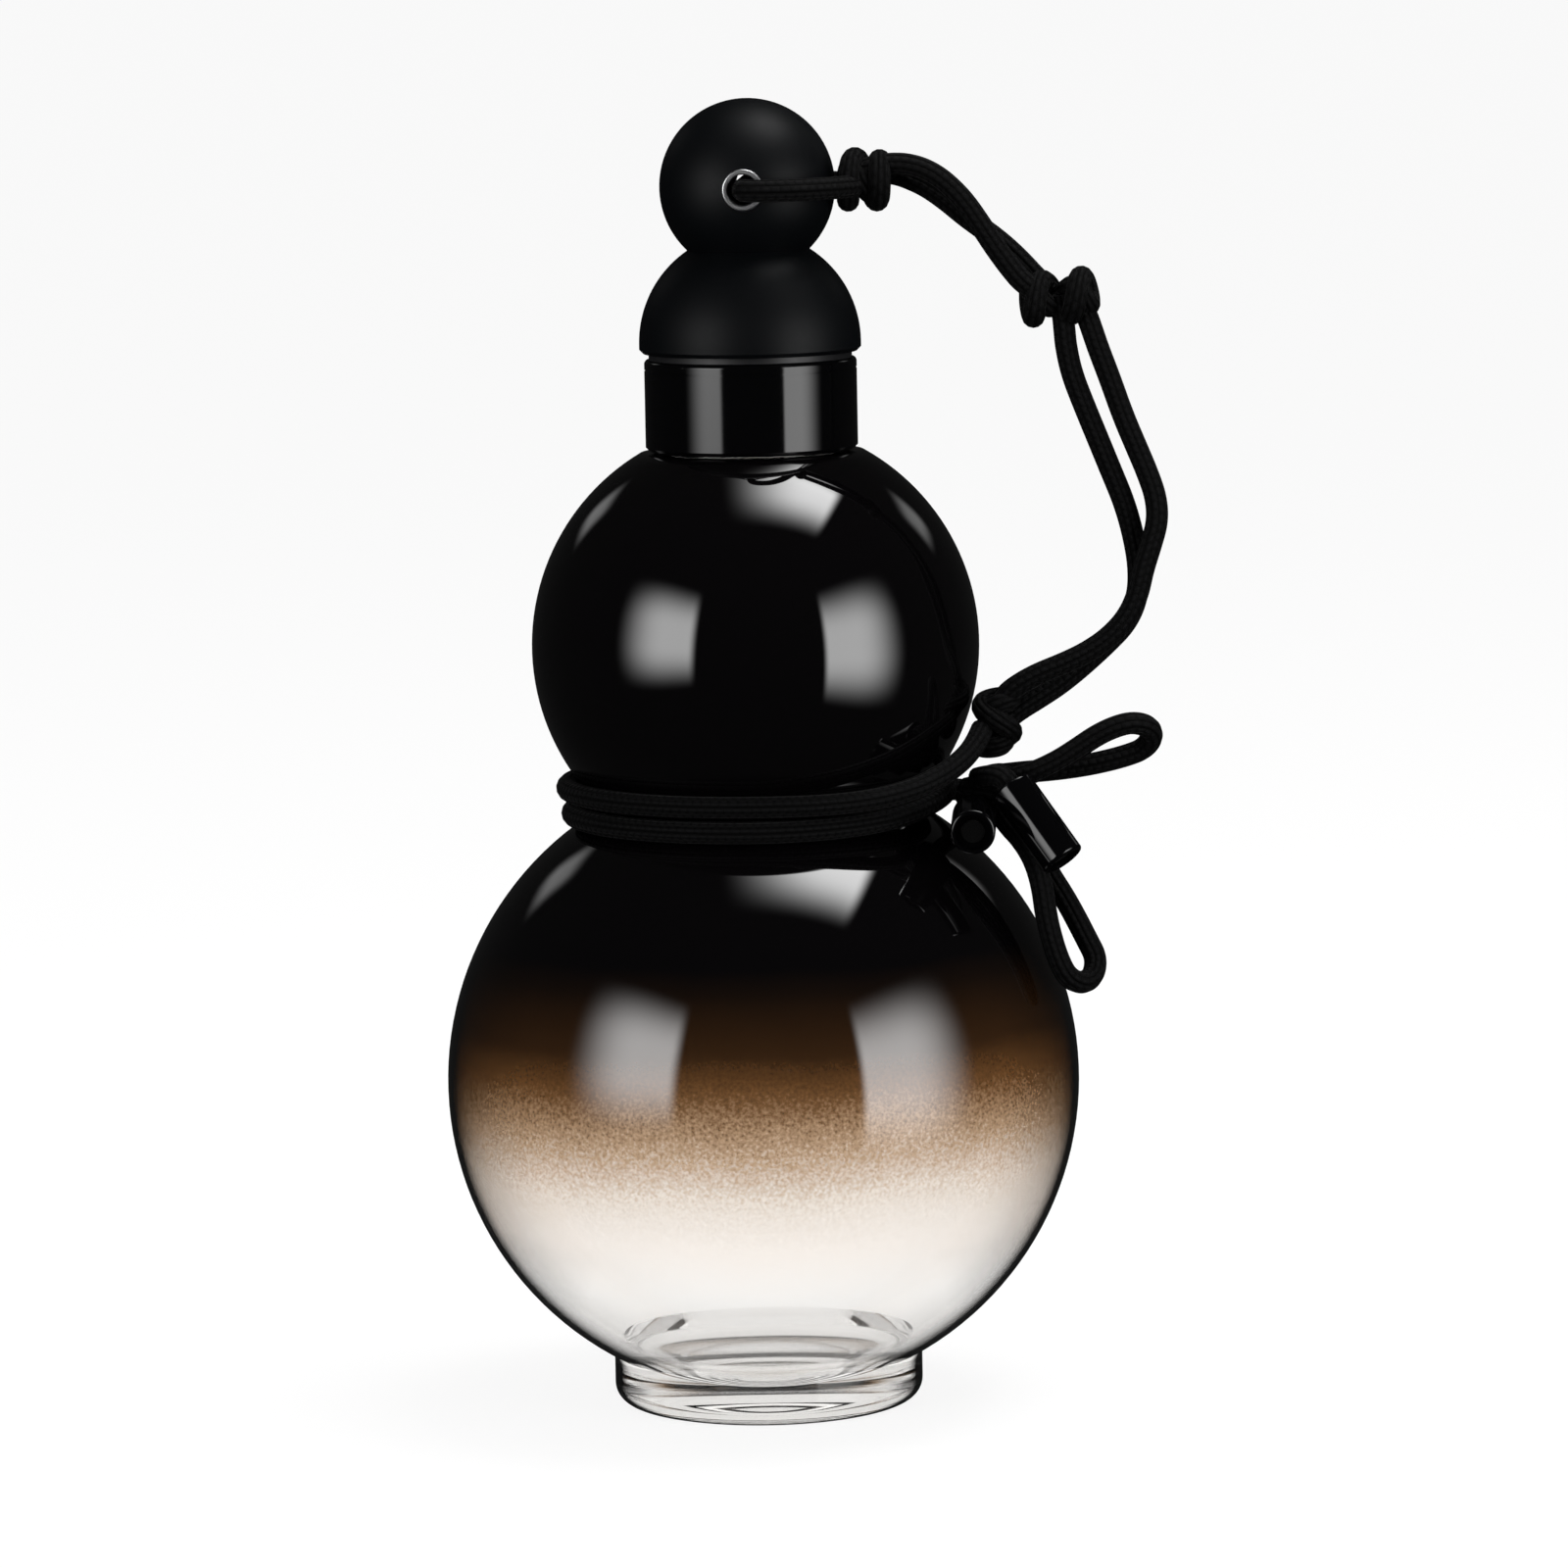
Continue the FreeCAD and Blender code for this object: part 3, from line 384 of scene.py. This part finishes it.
def grained(name, colour, roughness, spread, grain_mm, depth_mm, **values):
    """Moulded or plated surface: a fine grain varies its roughness and lifts it, which breaks up its gloss."""
    made, tree, shader = finish(name, Base_Color=linear(colour), **values)
    place = node(tree, "ShaderNodeTexCoord").outputs["Object"]
    grain = node(tree, "ShaderNodeTexNoise", {"Vector": place, "Scale": 1 / (grain_mm * MM), "Detail": 2.0})
    rough = node(tree, "ShaderNodeMapRange", {"Value": grain.outputs["Fac"], "To Min": roughness - spread,
                                              "To Max": roughness + spread})
    bump = node(tree, "ShaderNodeBump", {"Height": grain.outputs["Fac"], "Distance": depth_mm * MM,
                                         "Strength": 1.0})
    tree.links.new(rough.outputs[0], shader.inputs["Roughness"])
    tree.links.new(bump.outputs["Normal"], shader.inputs["Normal"])
    return made


def black_braid():
    """Round polyester braid: dull black ribs of staggered stitches, with painted shade between them and a faint
    painted highlight on each crown.
    """
    made, tree, shader = finish("black_polyester_braid", Roughness=0.7, Specular_IOR_Level=0.12, Sheen_Weight=0.02,
                                Sheen_Roughness=0.4)
    uv = node(tree, "ShaderNodeUVMap", uv_map="UVMap").outputs["UV"]
    split = node(tree, "ShaderNodeSeparateXYZ", {0: uv})
    # ribs round the cord, and the millimetres from one stitch of a rib to the next
    ribs = 10.0
    stitch = 1.3
    turn = node(tree, "ShaderNodeMath", {0: split.outputs["X"], 1: ribs}, operation="MULTIPLY").outputs[0]
    rib = node(tree, "ShaderNodeMath", {0: turn}, operation="FLOOR").outputs[0]
    stagger = node(tree, "ShaderNodeMath", {0: rib, 1: 0.5}, operation="MULTIPLY").outputs[0]
    travel = node(tree, "ShaderNodeMath", {0: split.outputs["Y"], 1: 1 / stitch, 2: stagger},
                  operation="MULTIPLY_ADD").outputs[0]
    crowns = []
    for way in (turn, travel):
        arch = node(tree, "ShaderNodeMath", {0: way, 1: math.pi}, operation="MULTIPLY").outputs[0]
        wave = node(tree, "ShaderNodeMath", {0: arch}, operation="SINE").outputs[0]
        crowns.append(node(tree, "ShaderNodeMath", {0: wave}, operation="ABSOLUTE").outputs[0])
    bead = node(tree, "ShaderNodeMath", {0: crowns[1], 1: 0.5, 2: 0.5}, operation="MULTIPLY_ADD").outputs[0]
    yarn = node(tree, "ShaderNodeMath", {0: crowns[0], 1: bead}, operation="MULTIPLY").outputs[0]
    # loose fibres, finer than the render shows, are drawn a quarter of a millimetre wide
    place = node(tree, "ShaderNodeTexCoord").outputs["Object"]
    fuzz = node(tree, "ShaderNodeTexNoise", {"Vector": place, "Scale": 1 / (0.25 * MM), "Detail": 2.0}).outputs["Fac"]
    height = node(tree, "ShaderNodeMath", {0: fuzz, 1: 0.25, 2: yarn}, operation="MULTIPLY_ADD").outputs[0]
    # painted shade and highlight: the grooves between stitches are darker and their crowns lighter, with the loose
    # fibres' random tone
    rib_shade_and_highlight = node(tree, "ShaderNodeValToRGB", {"Fac": height})
    stops(rib_shade_and_highlight, [(0.25, "#010101"), (0.6, "#040404"), (1.0, "#0c0c0d")])
    bump = node(tree, "ShaderNodeBump", {"Height": height, "Distance": 0.3 * MM, "Strength": 1.0})
    tree.links.new(rib_shade_and_highlight.outputs["Color"], shader.inputs["Base Color"])
    tree.links.new(bump.outputs["Normal"], shader.inputs["Normal"])
    return made


# Cord

def nurbs(name, route, closed):
    """Smooth spline with a route's points as its control points."""
    curve = bpy.data.curves.new(name, "CURVE")
    curve.dimensions = "3D"
    spline = curve.splines.new("NURBS")
    spline.points.add(len(route) - 1)
    for point, place in zip(spline.points, route):
        point.co = (place[0] * MM, place[1] * MM, place[2] * MM, 1)
    spline.order_u = 3
    spline.use_endpoint_u = not closed
    spline.use_cyclic_u = closed
    spline.resolution_u = 10
    return curve


def cord_mesh(name, route, closed=False):
    """Round tube along a route's smooth spline, with its UV map in turns round and millimetres along."""
    curve = nurbs(name + "_route", route, closed)
    maker = bpy.data.objects.new(name + "_maker", curve)
    scene.collection.objects.link(maker)
    line = bpy.data.meshes.new_from_object(maker)
    path = [vertex.co.copy() for vertex in line.vertices]
    bpy.data.meshes.remove(line)
    curve.bevel_depth = CORD_RADIUS * MM
    curve.bevel_resolution = 5
    curve.use_fill_caps = True
    mesh = bpy.data.meshes.new_from_object(maker)
    bpy.data.objects.remove(maker)
    lengths = [0.0]
    for before, after in zip(path, path[1:] + path[:1]):
        lengths.append(lengths[-1] + (after - before).length / MM)
    last = len(path) if closed else len(path) - 1
    for corner in mesh.uv_layers["UVMap"].data:
        place = corner.uv[0] * last
        first = min(int(place), last - 1)
        along = lengths[first] + (place - first) * (lengths[first + 1] - lengths[first])
        corner.uv = (corner.uv[1], along)
    mesh.shade_smooth()
    mesh.name = name
    return mesh, path


def add_cord(name, route, body, upper_body=None):
    """A stretch of the cord between two knots, standing for its solid."""
    mesh, path = cord_mesh(name + "_cord", route)
    piece = show(name + "_cord", mesh, [braid], None if upper_body else body, "cord_braid", name)
    if upper_body:
        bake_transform(piece)


def around(azimuth, radius, height):
    """Control point that keeps the wrap's spline, with WRAP_STEP degrees from point to point, at a radius."""
    reach = radius / math.cos(math.radians(WRAP_STEP / 2))
    return (reach * math.cos(math.radians(azimuth)), reach * math.sin(math.radians(azimuth)), height)


def waist_route():
    """Control points of the wrap: out of the waist knot, twice round the waist, and into the bow knot."""
    turns = []
    for radius, height, azimuths in (WRAP_UPPER_TURN, WRAP_LOWER_TURN):
        turns.append([around(azimuth, radius, height) for azimuth in azimuths])
    down = [around(*place) for place in WRAP_STEP_DOWN]
    leaving = [around(*place) for place in WRAP_LEAVING]
    return WRAP_OUT + turns[0] + down + turns[1] + leaving + WRAP_IN


def knot_route(middle, along, turns, radius, reach, lift, crossing):
    """Closed round of cord wound about a knot's length, out and back, so that its turns cross."""
    turn = Vector((0, 0, 1)).rotation_difference(Vector(along))
    count = KNOT_POINTS * turns
    route = []
    for index in range(count):
        angle = math.tau * index / count
        swing = turns * angle + math.radians(crossing)
        out = (radius + lift * math.sin(angle)) / math.cos(math.radians(KNOT_HALF_STEP))
        place = Vector((out * math.cos(swing), out * math.sin(swing), reach * math.cos(angle)))
        route.append(tuple(Vector(middle) + turn @ place))
    return route


def add_knot(name, body, *shape):
    """A knot as crossed turns of the cord, standing for its solid."""
    mesh = cord_mesh(name + "_turns", knot_route(*shape), closed=True)[0]
    show(name + "_turns", mesh, [braid], body, "cord_braid", name)


def add_end(name, route):
    """A short end of the cord, from the bow knot into its tip."""
    mesh = cord_mesh(name + "_cord", route)[0]
    show(name + "_cord", mesh, [braid], "lanyard", "cord_braid", name)


# Glass

def arc(middle_height, radius, first, last, middle_radius=0.0, step=2.5):
    """Points of a profile arc (radius, height) between two angles in degrees."""
    count = max(2, math.ceil(abs(last - first) / step))
    angles = [math.radians(first + (last - first) * index / count) for index in range(count + 1)]
    return [(middle_radius + radius * math.cos(angle), middle_height + radius * math.sin(angle)) for angle in angles]


def angle_to(middle, point):
    """Degrees from a middle to a point of the profile."""
    return math.degrees(math.atan2(point[1] - middle[1], point[0] - middle[0]))


def waist_arcs(low_radius, high_radius, start, end):
    """Two bulbs joined by a rounded waist, from an angle on the lower one to an angle on the upper one."""
    spacing = HIGH_MIDDLE - LOW_MIDDLE
    low_reach = low_radius + WAIST_ROUNDING
    high_reach = high_radius + WAIST_ROUNDING
    climb = (spacing ** 2 + low_reach ** 2 - high_reach ** 2) / (2 * spacing)
    hub = (math.sqrt(low_reach ** 2 - climb ** 2), LOW_MIDDLE + climb)
    low_angle = angle_to((0, LOW_MIDDLE), hub)
    high_angle = angle_to((0, HIGH_MIDDLE), hub)
    return (arc(LOW_MIDDLE, low_radius, start, low_angle)
            + arc(hub[1], WAIST_ROUNDING, low_angle + 180, high_angle + 180, hub[0], 8)
            + arc(HIGH_MIDDLE, high_radius, high_angle, end))


def bottle_profile():
    """Outer wall from the punt up to the lip, and the inner wall back down."""
    punt_radius = (PUNT_RADIUS ** 2 + PUNT_RISE ** 2) / (2 * PUNT_RISE)
    punt_angle = math.degrees(math.asin(PUNT_RADIUS / punt_radius))
    foot_angle = -angle_to((0, 0), (FOOT_RADIUS, FOOT_DROP))
    outer = arc(PUNT_RISE - punt_radius, punt_radius, 90, 90 - punt_angle, step=1.0)
    outer += arc(FOOT_ROUNDING, FOOT_ROUNDING, -90, 0, FOOT_RADIUS - FOOT_ROUNDING, 10)
    outer += waist_arcs(LOW_RADIUS, HIGH_RADIUS, foot_angle, SHOULDER_ANGLE)
    outer += arc(SHOULDER + LIP_ROUNDING, LIP_ROUNDING, 270, 180, NECK_RADIUS + LIP_ROUNDING, 20)
    outer += arc(MOUTH - LIP_ROUNDING, LIP_ROUNDING, 0, 90, NECK_RADIUS - LIP_ROUNDING, 15)
    ceiling = SHOULDER - WALL
    inner = arc(MOUTH - LIP_ROUNDING, LIP_ROUNDING, 90, 180, BORE_RADIUS + LIP_ROUNDING, 15)
    inner += arc(ceiling + CEILING_ROUNDING, CEILING_ROUNDING, 180, 270, BORE_RADIUS + CEILING_ROUNDING, 15)
    inner += waist_arcs(LOW_RADIUS - WALL, HIGH_RADIUS - WALL, -90, CEILING_ANGLE)[::-1]
    return outer, inner


def make_bottle():
    """The gourd, spun from its profile, lacquered outside and bare inside."""
    outer, inner = bottle_profile()
    bm = bmesh.new()
    profile = [bm.verts.new((radius * MM, 0, height * MM)) for radius, height in outer + inner]
    edges = [bm.edges.new(pair) for pair in zip(profile, profile[1:])]
    bmesh.ops.spin(bm, geom=profile + edges, cent=(0, 0, 0), axis=(0, 0, 1), angle=math.tau,
                   steps=GLASS_STEPS, use_merge=True)
    bmesh.ops.remove_doubles(bm, verts=bm.verts, dist=1e-6)
    bmesh.ops.recalc_face_normals(bm, faces=bm.faces)
    # the inner wall is what lies inside the middle of the wall's thickness
    bulbs = [(Vector((0, 0, LOW_MIDDLE * MM)), (LOW_RADIUS - WALL / 2) * MM),
             (Vector((0, 0, HIGH_MIDDLE * MM)), (HIGH_RADIUS - WALL / 2) * MM)]
    bore = (NECK_RADIUS + BORE_RADIUS) / 2 * MM
    for face in bm.faces:
        place = face.calc_center_median()
        in_bulb = any((place - middle).length < reach for middle, reach in bulbs)
        in_bore = place.z > BORE_FROM * MM and math.hypot(place.x, place.y) < bore
        face.material_index = 1 if in_bulb or in_bore else 0
        face.smooth = True
    mesh = bpy.data.meshes.new("gourd_glass")
    bm.to_mesh(mesh)
    bm.free()
    mesh.set_sharp_from_angle(angle=math.radians(SHARP_ANGLE))
    show("gourd_glass", mesh, [lacquered, clear_glass()], "bottle", "bottle_glass", "glass_body")


def make_thread():
    """One and a half turns of moulded thread round the neck, at the cap's four millimetres a turn."""
    bm = bmesh.new()
    rib = bmesh.ops.create_circle(bm, segments=14, radius=1.0 * MM)["verts"]
    bmesh.ops.scale(bm, verts=rib, vec=(0.75, 1.0, 1.0))
    bmesh.ops.rotate(bm, verts=rib, cent=(0, 0, 0), matrix=Matrix.Rotation(math.radians(90), 3, "X"))
    bmesh.ops.translate(bm, verts=rib, vec=(THREAD_RADIUS * MM, 0, THREAD_FROM * MM))
    ring = bm.edges[:]
    climb = (0, 0, THREAD_RISE * MM / THREAD_STEPS)
    made = bmesh.ops.spin(bm, geom=rib + ring, cent=(0, 0, 0), axis=(0, 0, 1), dvec=climb, angle=3 * math.pi,
                          steps=THREAD_STEPS)
    last = [item for item in made["geom_last"] if isinstance(item, bmesh.types.BMEdge)]
    bmesh.ops.contextual_create(bm, geom=ring)
    bmesh.ops.contextual_create(bm, geom=last)
    bmesh.ops.recalc_face_normals(bm, faces=bm.faces)
    for face in bm.faces:
        face.smooth = len(face.verts) == 4
    mesh = bpy.data.meshes.new("neck_thread")
    bm.to_mesh(mesh)
    bm.free()
    show("neck_thread", mesh, [lacquered], "bottle", "bottle_glass")


make_camera()
braid = black_braid()
add_cord("ball_loop", BALL_LOOP, "cap")
add_cord("tether_upper_a", TETHER_UPPER_A, "tether", "cap")
add_cord("tether_upper_b", TETHER_UPPER_B, "tether", "cap")
add_cord("tether_lower_a", TETHER_LOWER_A, "lanyard", "tether")
add_cord("tether_lower_b", TETHER_LOWER_B, "lanyard", "tether")
add_cord("bow_loop_upper", BOW_LOOP_UPPER, "lanyard")
add_cord("bow_loop_lower", BOW_LOOP_LOWER, "lanyard")
add_cord("waist_wrap", waist_route(), "lanyard")
# each knot: its middle, the way it lies, its turns, their radius and reach, how far they swell, where they start
add_knot("ball_knot", "cap", (17.6, -2.2, 185.7), (1.0, 0.0, 0.1), 3, 2.7, 2.7, 0.7, 200)
add_knot("middle_knot", "tether", (46.5, -2.0, 167.7), (1.0, 0.0, 0.15), 4, 2.0, 4.4, 0.9, 60)
add_knot("waist_knot", "lanyard", (36.3, -5.1, 104.1), (0.1, 0.0, 1.0), 3, 1.8, 3.7, 0.6, 30)
add_knot("bow_knot", "lanyard", (35.2, -7.5, 94.5), (0.0, 0.4, 1.0), 2, 2.5, 1.8, 0.7, 0)
add_end("bow_end_a", BOW_END_A)
add_end("bow_end_b", BOW_END_B)
make_studio()
lacquered = sprayed_glass()
make_bottle()
make_thread()
# each finish: its colour, roughness and how far that varies, and its grain's width and depth in millimetres

# Soft-touch paint on moulded plastic: black with a broad, dull light and no clear reflection.
matte = grained("soft_touch_plastic", "#05070a", 0.5, 0.08, 0.25, 0.004, Specular_IOR_Level=0.18)
# Black plating on a polished sleeve: upright reflections with clean edges, very slightly wavy.
gloss = grained("black_plated_sleeve", "#050506", 0.08, 0.02, 3.0, 0.0002, Specular_IOR_Level=0.35, Coat_Weight=0.2,
                Coat_Roughness=0.03)
# Tumbled steel: a bright ring whose light is spread along its curve.
steel = grained("satin_steel_eyelet", "#eeeff0", 0.36, 0.06, 1.0, 0.001, Metallic=1.0)
# Moulded polypropylene, hidden in the cap: dark grey with a waxy sheen.
moulded = grained("moulded_polypropylene", "#1b1b1d", 0.45, 0.08, 0.4, 0.006)
# Moulded silicone, hidden in the cap: warm white and dull.
silicone = grained("white_silicone", "#e8e6e0", 0.5, 0.08, 0.5, 0.004)
finishes = {
    "cap_crown": matte, "cap_collar": gloss, "cap_liner": moulded, "mouth_seal": silicone, "eyelet_front": steel,
    "eyelet_back": steel, "cord_tip_a": gloss, "cord_tip_b": gloss,
}
for name, material in finishes.items():
    for slot in bpy.data.objects[name].material_slots:
        slot.material = material
